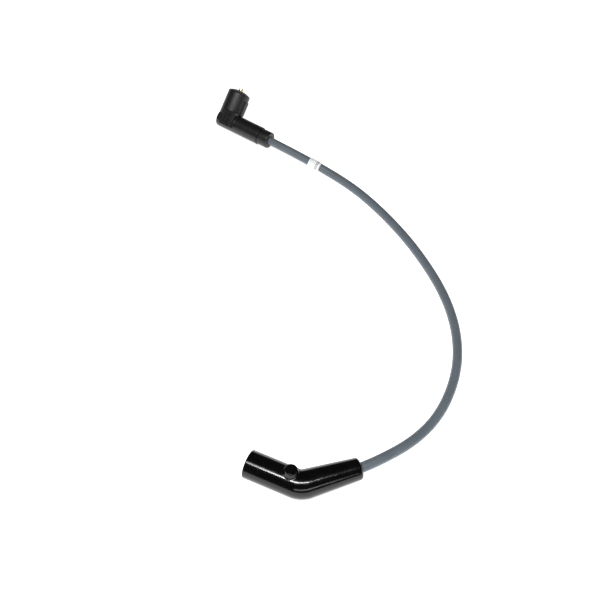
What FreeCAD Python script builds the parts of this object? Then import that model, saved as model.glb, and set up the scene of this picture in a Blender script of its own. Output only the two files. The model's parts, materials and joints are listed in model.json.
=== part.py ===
"""High-tension ignition lead: elbow boot, silicone cable, marker sleeve and right-angle plug.

Frame: the origin is the centre of the boot's mouth. The barrel runs along +X, +Z is up, and the lead
lies on a table one barrel radius below the origin. Millimetres.
"""
import FreeCAD, Part
import math
import os

import Sketcher
from FreeCAD import Placement, Rotation, Vector

DOC = FreeCAD.newDocument("IgnitionLead")
SHEET = DOC.addObject("Spreadsheet::Sheet", "Sizes")


class Size:
    """A length that knows both its number and the spreadsheet expression it comes from."""

    def __init__(self, value, text):
        self.value = float(value)
        self.text = text

    @staticmethod
    def of(other):
        return other if isinstance(other, Size) else Size(other, repr(other))

    def __add__(self, other):
        other = Size.of(other)
        return Size(self.value + other.value, f"({self.text} + {other.text})")

    def __sub__(self, other):
        other = Size.of(other)
        return Size(self.value - other.value, f"({self.text} - {other.text})")

    def __mul__(self, other):
        other = Size.of(other)
        return Size(self.value * other.value, f"({self.text} * {other.text})")

    def __truediv__(self, other):
        other = Size.of(other)
        return Size(self.value / other.value, f"({self.text} / {other.text})")

    def __neg__(self):
        return Size(-self.value, f"(-1 * {self.text})")


ZERO = Size(0, "0")
ROW = 0


def cell(alias, value, note):
    """One driving dimension, as a row of the spreadsheet."""
    global ROW
    ROW += 1
    SHEET.set(f"A{ROW}", note)
    SHEET.set(f"B{ROW}", str(value))
    SHEET.setAlias(f"B{ROW}", alias)
    return Size(value, f"Sizes.{alias}")


# Elbow boot
barrel_od = cell("barrel_od", 19.4, "boot barrel, outer diameter")
barrel_length = cell("barrel_length", 37.5, "boot mouth to the corner of the elbow")
bend_turn = cell("bend_turn", 41, "turn of the boot's elbow, degrees")
bend_inside = cell("bend_inside", 1.8, "radius of the inside of the boot's elbow")
leg_length = cell("leg_length", 40.5, "elbow corner to the cable face of the leg")
leg_end_od = cell("leg_end_od", 14.6, "leg diameter at the cable face")
leg_round = cell("leg_round", 2.2, "rounding of the leg's cable end")
mouth_bore = cell("mouth_bore", 14.4, "socket bore for the electrode's insulator")
mouth_depth = cell("mouth_depth", 19, "depth of the socket bore")
mouth_lip = cell("mouth_lip", 0.8, "chamfer round the outside of the mouth")
boss_od = cell("boss_od", 9.4, "round boss on the barrel, diameter")
boss_rise = cell("boss_rise", 3, "height of the boss above the barrel")
boss_round = cell("boss_round", 1, "rounding of the boss's top edge")
boss_from_bend = cell("boss_from_bend", 7.7, "boss centre to the elbow corner")
boss_lean = cell("boss_lean", 13, "lean of the boss towards the inside of the elbow, degrees")
boot_gap = cell("boot_gap", 0.1, "play between the boot and the metal inside it")

# Spring terminal inside the boot
socket_bore = cell("socket_bore", 6.4, "bore that takes the electrode's stud")
socket_wall = cell("socket_wall", 1.2, "wall of the socket")
socket_start = cell("socket_start", 21, "mouth to the near face of the socket")
socket_length = cell("socket_length", 13, "length of the socket, floor included")
socket_floor = cell("socket_floor", 1, "thickness of the socket's and crimp's floors")
neck_od = cell("neck_od", 3.2, "neck between the socket and the crimp")
crimp_wall = cell("crimp_wall", 0.65, "wall of the crimp")
crimp_start = cell("crimp_start", 8, "elbow corner to the floor of the crimp")
crimp_length = cell("crimp_length", 12.5, "length of the crimp, floor included")
snap_wire = cell("snap_wire", 0.8, "wire of the snap spring")
snap_turn = cell("snap_turn", 310, "turn of the snap spring, degrees")
snap_depth = cell("snap_depth", 4, "socket face to the snap spring")

# Cable and marker sleeve
cable_od = cell("cable_od", 7, "cable, outer diameter")
jacket_wall = cell("jacket_wall", 0.9, "silicone jacket")
braid_wall = cell("braid_wall", 0.25, "glass-fibre braid")
core_od = cell("core_od", 2.5, "stranded copper core")
crimp_play = cell("crimp_play", 0.05, "radial gap between the cable and the crimp")
layer_gap = cell("layer_gap", 0.05, "gap between the cable's layers")
cable_play = cell("cable_play", 0.1, "radial gap between the cable and what it runs in")
marker_wall = cell("marker_wall", 0.35, "wall of the marker sleeve")
marker_length = cell("marker_length", 11, "length of the marker sleeve")
marker_from_plug = cell("marker_from_plug", 41.9, "plug's cable face to the marker sleeve")

# Right-angle plug
arm_od = cell("arm_od", 15.5, "cable arm of the plug, outer diameter")
arm_length = cell("arm_length", 36, "tower axis to the end of the moulded arm")
arm_back = cell("arm_back", 7.9, "tower axis to the back of the arm")
arm_back_round = cell("arm_back_round", 2.5, "rounding of the arm's back")
heel_low = cell("heel_low", 5.4, "arm axis down to the foot of the elbow's round back")
heel_round = cell("heel_round", 2, "rounding of that foot")
tower_lean = cell("tower_lean", 43, "tower above the table at rest, degrees")
collar_od = cell("collar_od", 17.2, "tower below the cap, outer diameter")
tower_od = cell("tower_od", 15.6, "tower inside the cap, outer diameter")
tower_end = cell("tower_end", 22.5, "arm axis to the end of the moulded tower")
tower_bore = cell("tower_bore", 8.2, "bore of the tower")
tower_floor = cell("tower_floor", 4, "arm axis to the floor of the tower's bore")
cap_od = cell("cap_od", 20, "rubber cap, outer diameter")
cap_start = cell("cap_start", 3.9, "arm axis to the cap's lower edge")
flange_thick = cell("flange_thick", 1.5, "flange of the pin's insert, on the tower's end")
cap_roof = cell("cap_roof", 1.6, "cap's roof, from that flange to the shoulder")
cap_dome = cell("cap_dome", 2.5, "rise of the cap's dome")
cap_round = cell("cap_round", 1.3, "rounding of the cap's shoulder")
cap_mouth = cell("cap_mouth", 6, "opening of the cap round the pin")
flank_width = cell("flank_width", 4.6, "raised rib down the cap's inner side, width")
flank_rise = cell("flank_rise", 1.3, "rise of that rib above the cap")
flank_top = cell("flank_top", 21, "arm axis to the top of that rib")
flank_round = cell("flank_round", 0.6, "rounding of that rib's edges")
flank_lift = cell("flank_lift", 1, "cap's lower edge to the foot of that rib")
flank_root = cell("flank_root", 1, "how far that rib is rooted in the cap's wall")
piece_gap = cell("piece_gap", 0.05, "gap between pieces pressed together inside the plug")
arm_clear = cell("arm_clear", 0.15, "gap between the cap's saddle and the arm")
pad_back = cell("pad_back", 1.6, "tower axis to the grip pad's edge on the back")
pad_front = cell("pad_front", 9.9, "tower axis to the grip pad's edge on the arm")
pad_rise = cell("pad_rise", 10.2, "arm axis to the face of the grip pad")
pad_root = cell("pad_root", 4, "arm axis to the root of the grip pad")
pad_top = cell("pad_top", 8.6, "arm axis up to the pad's upper edge")
pad_low = cell("pad_low", 5, "arm axis down to the pad's lower edge")
pad_round = cell("pad_round", 1, "rounding of the pad's edges")
rib_rise = cell("rib_rise", 0.5, "grip ribs above the pad")
rib_length = cell("rib_length", 4.2, "length of a grip rib")
rib_width = cell("rib_width", 0.65, "width of a grip rib")
rib_pitch = cell("rib_pitch", 1.32, "spacing of the grip ribs")
rib_margin = cell("rib_margin", 1.2, "pad's upper edge to the foot of the first rib")
rib_column_gap = cell("rib_column_gap", 0.9, "gap between the two columns of ribs")
seal_od = cell("seal_od", 14.2, "entry seal, outer diameter")
seal_length = cell("seal_length", 10.2, "visible length of the entry seal")
seal_round = cell("seal_round", 1, "rounding of the entry seal's end")
spigot_od = cell("spigot_od", 11.2, "spigot of the entry seal")
spigot_length = cell("spigot_length", 6, "length of that spigot")
pin_od = cell("pin_od", 4, "split contact pin, diameter")
pin_shank_od = cell("pin_shank_od", 4.6, "shank of the pin inside its insert")
pin_show = cell("pin_show", 1.9, "pin beyond the cap's dome")
pin_tip = cell("pin_tip", 0.5, "chamfer of the pin's tip")
pin_slot = cell("pin_slot", 0.8, "width of the pin's slot")
pin_slot_depth = cell("pin_slot_depth", 6, "depth of the pin's slot")
pin_collar_od = cell("pin_collar_od", 6, "collar of the pin")
pin_collar = cell("pin_collar", 1, "thickness of that collar")
cable_inside = cell("cable_inside", 30, "cable inside the plug")
flange_od = cell("flange_od", 15, "flange of the pin's insert")
insert_shank = cell("insert_shank", 4, "length of the insert's shank in the tower")
washer_thick = cell("washer_thick", 0.5, "washer between the pin and the resistor")
resistor_od = cell("resistor_od", 6.4, "ceramic resistor, diameter")
resistor_cap_wall = cell("resistor_cap_wall", 0.6, "wall of the resistor's brass caps")
resistor_cap_length = cell("resistor_cap_length", 2.5, "length of those caps")
spring_wire = cell("spring_wire", 0.7, "wire of the contact spring")
spring_od = cell("spring_od", 6, "contact spring, outer diameter")
spring_room = cell("spring_room", 4, "length of the compressed contact spring")
spring_turns = cell("spring_turns", 3.5, "turns of the contact spring")
block_od = cell("block_od", 7, "brass corner block, diameter")
block_top = cell("block_top", 4, "arm axis to the block's spring face")
block_bottom = cell("block_bottom", 3.6, "arm axis down to the block's foot")
screw_od = cell("screw_od", 1.6, "cable screw in the core, diameter")
screw_root_od = cell("screw_root_od", 3, "cable screw in the corner block, diameter")
screw_reach = cell("screw_reach", 8, "length of the screw in the cable's core")
screw_point = cell("screw_point", 1.5, "length of the screw's point")
screw_shoulder = cell("screw_shoulder", 1, "screw's root beyond the corner block")
over = cell("over", 1, "how far a cutter passes the piece that it cuts")

bend_radius = barrel_od / 2 + bend_inside
marker_radius = cable_od / 2 + cable_play + marker_wall
cap_shoulder = tower_end + flange_thick + cap_roof

RIB_ROWS = 9

# The cable's route: corner points of its centreline, from the boot's crimp to inside the plug.
ROUTE = [
    (46.71, 8, 0),
    (72.74, 30.64, 0),
    (96, 65.6, -6.2),
    (104.8, 99.8, -6.2),
    (100.5, 141.1, -6.2),
    (78.7, 182.5, -6.2),
    (38.6, 221.4, -6.2),
    (-3.5, 249.7, -6.2),
    (-42.15, 267.9, -6.2),
    (-104.4, 278.76, -0.55),
    (-146.1, 286.83, -0.55),
]
ARC_SHARE = 0.45

POINTS = [Vector(*point) for point in ROUTE]
RIGHT = Vector(1, 0, 0)
UP = Vector(0, 0, 1)


def frame(origin, z_axis, x_axis):
    """A placement whose +Z and +X lie along two directions square to each other."""
    return Placement(origin, Rotation(x_axis, z_axis.cross(x_axis), z_axis, "ZXY"))


def shifted(base, x=0, y=0, z=0):
    """The same placement, moved along its own axes."""
    return base.multiply(Placement(Vector(x, y, z), Rotation()))


# Every piece is made along +Z of one of these frames.
LEG_DIRECTION = Vector(math.cos(math.radians(bend_turn.value)), math.sin(math.radians(bend_turn.value)), 0)
BEND_POINT = RIGHT * barrel_length.value
BARREL = frame(Vector(), RIGHT, UP)
LEG = frame(BEND_POINT, LEG_DIRECTION, UP)
ARM_DIRECTION = (POINTS[-2] - POINTS[-1]).normalize()
PLUG_LENGTH = arm_length.value + seal_length.value
CABLE_IN_PLUG = PLUG_LENGTH - cable_inside.value
CORNER = POINTS[-1] - ARM_DIRECTION * CABLE_IN_PLUG
LEAN = math.radians(tower_lean.value)
TOWER_DIRECTION = ARM_DIRECTION.cross(UP).negative() * math.cos(LEAN) + UP * math.sin(LEAN)
FACE_DIRECTION = ARM_DIRECTION.cross(TOWER_DIRECTION)
ARM = frame(CORNER, ARM_DIRECTION, TOWER_DIRECTION)
TOWER = frame(CORNER, TOWER_DIRECTION, FACE_DIRECTION)


def bind(thing, name, size):
    """Set a property and tie it to its expression."""
    size = Size.of(size)
    setattr(thing, name, size.value)
    thing.setExpression(name, size.text)


def cylinder(name, radius, height, at=None):
    solid = DOC.addObject("Part::Cylinder", name)
    bind(solid, "Radius", radius)
    bind(solid, "Height", height)
    solid.Placement = at or Placement()
    return solid


def box(name, length, width, height, at):
    """A block centred on its frame's axes in X and Y, standing on its origin."""
    solid = DOC.addObject("Part::Box", name)
    bind(solid, "Length", length)
    bind(solid, "Width", width)
    bind(solid, "Height", height)
    solid.Placement = shifted(at, -Size.of(length).value / 2, -Size.of(width).value / 2)
    return solid


def ball(name, radius, at):
    solid = DOC.addObject("Part::Sphere", name)
    bind(solid, "Radius", radius)
    solid.Placement = at
    return solid


def fused(name, pieces):
    result = DOC.addObject("Part::MultiFuse", name)
    result.Shapes = pieces
    return result


def cut(name, base, tools):
    result = DOC.addObject("Part::Cut", name)
    result.Base = base
    result.Tool = tools[0] if len(tools) == 1 else fused(name + "_tools", tools)
    return result


def rounded(name, base, radius, wanted):
    """Fillet the edges of a solid that a test picks."""
    DOC.recompute()
    picked = [n for n, edge in enumerate(base.Shape.Edges, 1) if wanted(edge)]
    if not picked:
        raise RuntimeError(f"{name}: no edge to round")
    result = DOC.addObject("Part::Fillet", name)
    result.Base = base
    result.Edges = [(n, radius.value, radius.value) for n in picked]
    return result


def dome_arc(start, end):
    """The arc between two points of an outline whose centre is on the turning axis."""
    drop = (start.x ** 2 + start.y ** 2 - end.x ** 2 - end.y ** 2) / (2 * (start.y - end.y))
    centre = Vector(0, drop, 0)
    circle = Part.Circle(centre, UP, start.distanceToPoint(centre))
    first = math.atan2(start.y - drop, start.x)
    last = math.atan2(end.y - drop, end.x)
    return Part.ArcOfCircle(circle, first, last)


def turned(name, outline, at, dome=None):
    """A turned body: a closed outline of (radius, height) corners, revolved about its frame's +Z.

    The side that starts at the corner numbered by dome is an arc centred on the axis.
    """
    body = DOC.addObject("PartDesign::Body", name)
    sketch = body.newObject("Sketcher::SketchObject", name + "_outline")
    plane = next(item for item in body.Origin.OriginFeatures if item.Role == "XZ_Plane")
    sketch.AttachmentSupport = (plane, [""])
    sketch.MapMode = "FlatFace"
    corners = [(Size.of(radius), Size.of(height)) for radius, height in outline]
    for number, (start, end) in enumerate(zip(corners, corners[1:] + corners[:1])):
        first = Vector(start[0].value, start[1].value, 0)
        last = Vector(end[0].value, end[1].value, 0)
        side = dome_arc(first, last) if number == dome else Part.LineSegment(first, last)
        sketch.addGeometry(side, False)
    last_line = len(corners) - 1
    for line in range(last_line):
        sketch.addConstraint(Sketcher.Constraint("Coincident", line, 2, line + 1, 1))
    sketch.addConstraint(Sketcher.Constraint("Coincident", last_line, 2, 0, 1))
    for line, (radius, height) in enumerate(corners):
        pin_corner(sketch, line, "DistanceX", -2, radius)
        pin_corner(sketch, line, "DistanceY", -1, height)
    if dome is not None:
        sketch.addConstraint(Sketcher.Constraint("PointOnObject", dome, 3, -2))
    revolution = body.newObject("PartDesign::Revolution", name + "_turned")
    revolution.Profile = sketch
    revolution.ReferenceAxis = (sketch, ["V_Axis"])
    body.Placement = at
    return body


def pin_corner(sketch, line, kind, axis, size):
    """Hold one coordinate of an outline's corner: on the axis, or at its named distance."""
    if size.value == 0:
        sketch.addConstraint(Sketcher.Constraint("PointOnObject", line, 1, axis))
        return
    index = sketch.addConstraint(Sketcher.Constraint(kind, -1, 1, line, 1, size.value))
    sketch.setExpression(f"Constraints[{index}]", size.text)


def named(solid, label):
    """Give a finished sub-part its node name."""
    solid.Label = label
    PIECES.append(solid)
    return solid


def smooth_path(points):
    """Straight runs joined by tangent arcs, each as large as its two runs allow."""
    edges = []
    radii = []
    here = points[0]
    for before, corner, after in zip(points, points[1:], points[2:]):
        run_in = corner - before
        run_out = after - corner
        reach = ARC_SHARE * min(run_in.Length, run_out.Length)
        turn = run_in.getAngle(run_out)
        radius = reach / math.tan(turn / 2)
        start = corner - run_in.normalize() * reach
        end = corner + run_out.normalize() * reach
        inward = (start + end) * 0.5 - corner
        to_arc = math.hypot(radius, reach) - radius
        middle = corner + inward.normalize() * to_arc
        edges.append(Part.LineSegment(here, start).toShape())
        edges.append(Part.Arc(start, middle, end).toShape())
        radii.append(radius)
        here = end
    edges.append(Part.LineSegment(here, points[-1]).toShape())
    return edges, radii


def rod_along(edges, radius):
    """A solid round rod along a chain of tangent edges."""
    wire = Part.Wire(edges)
    start = edges[0].Vertexes[0].Point
    tangent = edges[0].tangentAt(edges[0].FirstParameter)
    ring = Part.Wire([Part.makeCircle(radius, start, tangent)])
    return wire.makePipeShell([ring], True, False, 1)


def cable_layer(label, edges, outer, inner, lead):
    """One layer of the cable, stripped back to stand out of the jacket by its lead."""
    start = edges[0].Vertexes[0].Point
    tangent = edges[0].tangentAt(edges[0].FirstParameter)
    path = edges
    if lead:
        first = Part.LineSegment(start - tangent * lead, edges[0].Vertexes[1].Point).toShape()
        path = [first] + edges[1:]
    shape = rod_along(path, outer)
    if inner:
        shape = shape.cut(rod_along(path, inner))
    length = sum(edge.Length for edge in path)
    expected = math.pi * (outer ** 2 - inner ** 2) * length
    if abs(shape.Volume / expected - 1) > 0.01:
        raise RuntimeError(f"{label}: volume {shape.Volume:.0f} is not section times length {expected:.0f}")
    layer = DOC.addObject("Part::Feature", label)
    layer.Shape = shape
    layer.Placement = Placement()
    return layer


PIECES = []
PATH, RADII = smooth_path(POINTS)
CABLE_LENGTH = sum(edge.Length for edge in PATH)


def boot_outside():
    """Barrel, elbow and tapered leg of the boot, with the round boss."""
    radius = barrel_od / 2
    tangent = bend_radius * math.tan(math.radians(bend_turn.value / 2))
    barrel = turned("boot_barrel", [
        (0, 0),
        (radius - mouth_lip, 0),
        (radius, mouth_lip),
        (radius, barrel_length - tangent),
        (0, barrel_length - tangent),
    ], BARREL)
    elbow = DOC.addObject("Part::Torus", "boot_elbow")
    bind(elbow, "Radius1", bend_radius)
    bind(elbow, "Radius2", radius)
    bind(elbow, "Angle3", bend_turn)
    centre = Vector(barrel_length.value - tangent.value, bend_radius.value, 0)
    elbow.Placement = Placement(centre, Rotation(UP, -90))
    leg = turned("boot_leg", [
        (0, tangent),
        (radius, tangent),
        (leg_end_od / 2, leg_length),
        (0, leg_length),
    ], LEG)
    soft_leg = rounded("boot_leg_round", leg, leg_round, is_end_ring(LEG, leg_length, leg_end_od / 2))
    lean = Rotation(RIGHT, -boss_lean.value)
    foot = RIGHT * (barrel_length.value - boss_from_bend.value)
    post = cylinder("boot_boss_post", boss_od / 2, radius + boss_rise, Placement(foot, lean))
    boss = rounded("boot_boss", post, boss_round, is_end_ring(post.Placement, radius + boss_rise, boss_od / 2))
    return fused("boot_outside", [barrel, elbow, soft_leg, boss])


def is_end_ring(at, height, radius):
    """A test for the circular edge of a given radius at a given height of a frame."""
    centre = shifted(at, z=height.value).Base

    def test(edge):
        if edge.Degenerated or edge.Curve.TypeId != "Part::GeomCircle":
            return False
        ring = edge.Curve
        return ring.Center.distanceToPoint(centre) < 1e-3 and abs(ring.Radius - radius.value) < 1e-3

    return test


def electrode_boot():
    """Moulded silicone boot, hollow for the electrode, the terminal and the cable."""
    socket_end = socket_start + socket_length
    barrel_hollow = turned("boot_socket_hollow", [
        (0, 0),
        (mouth_bore / 2, 0),
        (mouth_bore / 2, mouth_depth),
        (socket_bore / 2 + socket_wall + boot_gap, mouth_depth),
        (socket_bore / 2 + socket_wall + boot_gap, socket_end + boot_gap),
        (neck_od / 2 + boot_gap, socket_end + boot_gap),
        (neck_od / 2 + boot_gap, barrel_length),
        (0, barrel_length),
    ], BARREL)
    corner_hollow = ball("boot_corner_hollow", neck_od / 2 + boot_gap, Placement(BEND_POINT, Rotation()))
    crimp_outer = cable_od / 2 + crimp_play + crimp_wall + boot_gap
    leg_hollow = turned("boot_crimp_hollow", [
        (0, 0),
        (neck_od / 2 + boot_gap, 0),
        (neck_od / 2 + boot_gap, crimp_start - boot_gap),
        (crimp_outer, crimp_start - boot_gap),
        (crimp_outer, crimp_start + crimp_length + boot_gap),
        (0, crimp_start + crimp_length + boot_gap),
    ], LEG)
    cable_hollow = DOC.addObject("Part::Feature", "boot_cable_hollow")
    cable_hollow.Shape = rod_along(PATH[:3], cable_od.value / 2 + cable_play.value)
    hollows = [barrel_hollow, corner_hollow, leg_hollow, cable_hollow]
    named(cut("electrode_boot", boot_outside(), hollows), "electrode_boot")


def socket_terminal():
    """Pressed brass terminal: stud socket, bent neck and crimp."""
    bore = socket_bore / 2
    outer = bore + socket_wall
    groove = bore + snap_wire + piece_gap
    socket = turned("terminal_socket", [
        (0, socket_start + socket_length - socket_floor),
        (bore, socket_start + socket_length - socket_floor),
        (bore, socket_start + snap_depth + snap_wire + piece_gap),
        (groove, socket_start + snap_depth + snap_wire + piece_gap),
        (groove, socket_start + snap_depth - piece_gap),
        (bore, socket_start + snap_depth - piece_gap),
        (bore, socket_start),
        (outer, socket_start),
        (outer, socket_start + socket_length),
        (0, socket_start + socket_length),
    ], BARREL)
    neck_start = socket_start + socket_length - socket_floor / 2
    neck_at = shifted(BARREL, z=neck_start.value)
    neck = cylinder("terminal_neck", neck_od / 2, barrel_length - neck_start, neck_at)
    corner = ball("terminal_corner", neck_od / 2, Placement(BEND_POINT, Rotation()))
    tail = cylinder("terminal_tail", neck_od / 2, crimp_start + socket_floor / 2, LEG)
    crimp_bore = cable_od / 2 + crimp_play
    crimp = turned("terminal_crimp", [
        (0, crimp_start),
        (crimp_bore + crimp_wall, crimp_start),
        (crimp_bore + crimp_wall, crimp_start + crimp_length),
        (crimp_bore, crimp_start + crimp_length),
        (crimp_bore, crimp_start + socket_floor),
        (0, crimp_start + socket_floor),
    ], LEG)
    named(fused("socket_terminal", [socket, neck, corner, tail, crimp]), "socket_terminal")


def snap_spring():
    """Open ring of spring wire in the socket's groove."""
    ring = DOC.addObject("Part::Torus", "snap_spring")
    bind(ring, "Radius1", socket_bore / 2 + snap_wire / 2 + piece_gap / 2)
    bind(ring, "Radius2", snap_wire / 2)
    bind(ring, "Angle3", snap_turn)
    ring.Placement = shifted(BARREL, z=(socket_start + snap_depth + snap_wire / 2).value)
    named(ring, "snap_spring")


def cable():
    """Jacket, braid, insulation and core along one route, stripped back at the crimp."""
    jacket = cable_od.value / 2
    braid = jacket - jacket_wall.value - layer_gap.value
    insulation = braid - braid_wall.value - layer_gap.value
    core = core_od.value / 2
    core_lead = (POINTS[0] - BEND_POINT).Length - crimp_start.value - socket_floor.value
    named(cable_layer("cable_jacket", PATH, jacket, jacket - jacket_wall.value, 0), "cable_jacket")
    named(cable_layer("cable_braid", PATH, braid, braid - braid_wall.value, core_lead / 4), "cable_braid")
    inside = core + layer_gap.value
    named(cable_layer("cable_insulation", PATH, insulation, inside, core_lead / 2), "cable_insulation")
    strands = cable_layer("cable_strands", PATH, core, 0, core_lead)
    screw_hole = cylinder("core_screw_hole", screw_od / 2 + layer_gap, screw_reach + screw_point,
                          shifted(ARM, z=CABLE_IN_PLUG))
    named(cut("cable_core", strands, [screw_hole]), "cable_core")


def marker_sleeve():
    """Printed sleeve pushed onto a straight stretch of the cable."""
    toward_boot = (POINTS[-3] - POINTS[-2]).normalize()
    plug_face = CORNER + ARM_DIRECTION * PLUG_LENGTH
    from_corner = marker_from_plug.value - (POINTS[-2] - plug_face).Length
    start = POINTS[-2] + toward_boot * from_corner
    side = toward_boot.cross(UP).normalize()
    bore = cable_od / 2 + cable_play
    sleeve = turned("marker_sleeve", [
        (bore, 0),
        (marker_radius, 0),
        (marker_radius, marker_length),
        (bore, marker_length),
    ], frame(start, toward_boot, side))
    named(sleeve, "marker_sleeve")
    return start, toward_boot


def plug_shell():
    """Outside of the moulded elbow: arm, round back stepped in under the cap, and tower."""
    arm = cylinder("plug_arm_rod", arm_od / 2, arm_back + arm_length, shifted(ARM, z=-arm_back.value))
    soft_arm = rounded("plug_arm", arm, arm_back_round, is_end_ring(arm.Placement, ZERO, arm_od / 2))
    cap_radius = cap_od / 2
    room_at = shifted(TOWER, 0, -(cap_radius / 2).value, cap_start.value)
    room = box("cap_seat_room", cap_od, cap_radius, tower_end - cap_start, room_at)
    core = cylinder("cap_seat_core", tower_od / 2, tower_end, TOWER)
    seated_arm = cut("plug_arm_seated", soft_arm, [cut("cap_seat", room, [core])])
    tower = turned("plug_tower", [
        (0, -heel_low),
        (collar_od / 2, -heel_low),
        (collar_od / 2, cap_start),
        (tower_od / 2, cap_start),
        (tower_od / 2, tower_end),
        (0, tower_end),
    ], TOWER)
    heel = is_end_ring(TOWER, -heel_low, collar_od / 2)
    return [seated_arm, rounded("plug_heel", tower, heel_round, heel)]


def pad_block(name, gap):
    """The grip pad's block, or with a gap the window that it needs in the cap."""
    depth = pad_rise - pad_root + gap * 2
    width = pad_back + pad_front + gap * 2
    at = shifted(TOWER, ((pad_rise + pad_root) / 2).value, ((pad_front - pad_back) / 2).value, -pad_low.value)
    return box(name, depth, width, pad_low + pad_top + gap, at)


def grip_pad():
    """Flat pad on the elbow's face with two columns of fine ribs across the tower."""
    face = pad_rise.value
    pieces = [rounded("grip_pad", pad_block("grip_pad_block", ZERO), pad_round, lambda edge: is_face_edge(edge, face))]
    column = (rib_length + rib_column_gap) / 2
    middle = (pad_front - pad_back) / 2
    for row in range(RIB_ROWS):
        rise = (pad_top - rib_margin - rib_pitch * row).value
        for side in (-1, 1):
            rib_at = shifted(TOWER, pad_rise.value, (middle + column * side).value, rise)
            rib = box(f"grip_rib_{row}_{(side + 1) // 2}", rib_rise * 2, rib_length, rib_width, rib_at)
            pieces.append(rib)
    return pieces


def is_face_edge(edge, distance):
    """True for an edge of the grip pad's face."""
    points = [vertex.Point - CORNER for vertex in edge.Vertexes]
    return all(abs(point.dot(FACE_DIRECTION) - distance) < 1e-3 for point in points)


def plug_body():
    """Right-angle moulding, bored along the tower and along the arm."""
    shell = fused("plug_shell", plug_shell() + grip_pad())
    tower_hollow = cylinder("plug_tower_hollow", tower_bore / 2, tower_floor + tower_end,
                            shifted(TOWER, z=-tower_floor.value))
    arm_hollow = turned("plug_arm_hollow", [
        (0, 0),
        (cable_od / 2 + cable_play, 0),
        (cable_od / 2 + cable_play, arm_length - spigot_length - piece_gap),
        (spigot_od / 2 + piece_gap, arm_length - spigot_length - piece_gap),
        (spigot_od / 2 + piece_gap, arm_length),
        (0, arm_length),
    ], ARM)
    named(cut("plug_body", shell, [tower_hollow, arm_hollow]), "plug_body")


def tower_cap():
    """Domed rubber cap over the tower: open round the pin, saddled over the arm, notched for the grip pad."""
    radius = cap_od / 2
    top = cap_shoulder + cap_dome
    domed = turned("cap_domed", [
        (0, cap_start),
        (radius, cap_start),
        (radius, cap_shoulder),
        (0, top),
    ], TOWER, dome=2)
    soft = rounded("cap_soft", domed, cap_round, is_end_ring(TOWER, cap_shoulder, radius))
    flank_length = flank_top - cap_start - flank_lift
    flank_depth = flank_rise + flank_root
    flank_at = shifted(TOWER, 0, (radius + flank_rise - flank_depth / 2).value, (flank_top - flank_length).value)
    flank_block = box("cap_flank_block", flank_width, flank_depth, flank_length, flank_at)
    far = (radius + flank_rise).value
    flank = rounded("cap_flank", flank_block, flank_round, lambda edge: is_outer_edge(edge, far))
    outside = fused("cap_outside", [soft, flank])
    hollow = cylinder("cap_hollow", tower_od / 2 + piece_gap, insert_top() + piece_gap, TOWER)
    mouth = cylinder("cap_opening", cap_mouth / 2, top + over, TOWER)
    saddle = cylinder("cap_saddle", arm_od / 2 + arm_clear, cap_od, ARM)
    window = pad_block("cap_window", arm_clear)
    named(cut("tower_cap", outside, [hollow, mouth, saddle, window]), "tower_cap")


def is_outer_edge(edge, distance):
    """True for an edge that lies at a given distance from the tower axis, towards the arm."""
    points = [vertex.Point for vertex in edge.Vertexes]
    return all(abs((point - CORNER).dot(ARM_DIRECTION) - distance) < 1e-3 for point in points)


def insert_top():
    """Height of the insert's flange, on which the cap's roof rests."""
    return tower_end + flange_thick


def contact_pin():
    """Split brass pin with a collar below the insert."""
    top = cap_shoulder + cap_dome + pin_show
    collar_top = tower_end - insert_shank - piece_gap
    whole = turned("contact_pin_whole", [
        (0, collar_top - pin_collar),
        (pin_collar_od / 2, collar_top - pin_collar),
        (pin_collar_od / 2, collar_top),
        (pin_shank_od / 2, collar_top),
        (pin_shank_od / 2, insert_top()),
        (pin_od / 2, insert_top()),
        (pin_od / 2, top - pin_tip),
        (pin_od / 2 - pin_tip, top),
        (0, top),
    ], TOWER)
    slot_at = shifted(TOWER, z=(top - pin_slot_depth).value)
    slot = box("contact_pin_slot", pin_od * 2, pin_slot, pin_slot_depth + over, slot_at)
    named(cut("contact_pin", whole, [slot]), "contact_pin")


def pin_insert():
    """Insulating bush that centres the pin in the tower."""
    bore = pin_shank_od / 2 + piece_gap
    shank = tower_bore / 2 - piece_gap
    named(turned("pin_insert", [
        (bore, tower_end - insert_shank),
        (shank, tower_end - insert_shank),
        (shank, tower_end),
        (flange_od / 2, tower_end),
        (flange_od / 2, insert_top()),
        (bore, insert_top()),
    ], TOWER), "pin_insert")


def resistor_stack():
    """Washer, resistor with its two caps, and the spring that presses them to the pin."""
    top = tower_end - insert_shank - piece_gap - pin_collar
    washer = cylinder("pin_washer_disc", pin_collar_od / 2, washer_thick,
                      shifted(TOWER, z=(top - washer_thick).value))
    named(washer, "pin_washer")
    stack_top = top - washer_thick
    stack_bottom = block_top + spring_room
    resistor_radius = resistor_od / 2
    cap_bore = resistor_radius + piece_gap
    cap_radius = cap_bore + resistor_cap_wall
    named(turned("resistor_cap_upper", [
        (0, stack_top),
        (cap_radius, stack_top),
        (cap_radius, stack_top - resistor_cap_length),
        (cap_bore, stack_top - resistor_cap_length),
        (cap_bore, stack_top - resistor_cap_wall),
        (0, stack_top - resistor_cap_wall),
    ], TOWER), "resistor_cap_upper")
    named(turned("resistor_cap_lower", [
        (0, stack_bottom),
        (cap_radius, stack_bottom),
        (cap_radius, stack_bottom + resistor_cap_length),
        (cap_bore, stack_bottom + resistor_cap_length),
        (cap_bore, stack_bottom + resistor_cap_wall),
        (0, stack_bottom + resistor_cap_wall),
    ], TOWER), "resistor_cap_lower")
    resistor_start = stack_bottom + resistor_cap_wall
    resistor_end = stack_top - resistor_cap_wall
    resistor = cylinder("plug_resistor_rod", resistor_radius, resistor_end - resistor_start,
                        shifted(TOWER, z=resistor_start.value))
    named(resistor, "plug_resistor")


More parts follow.
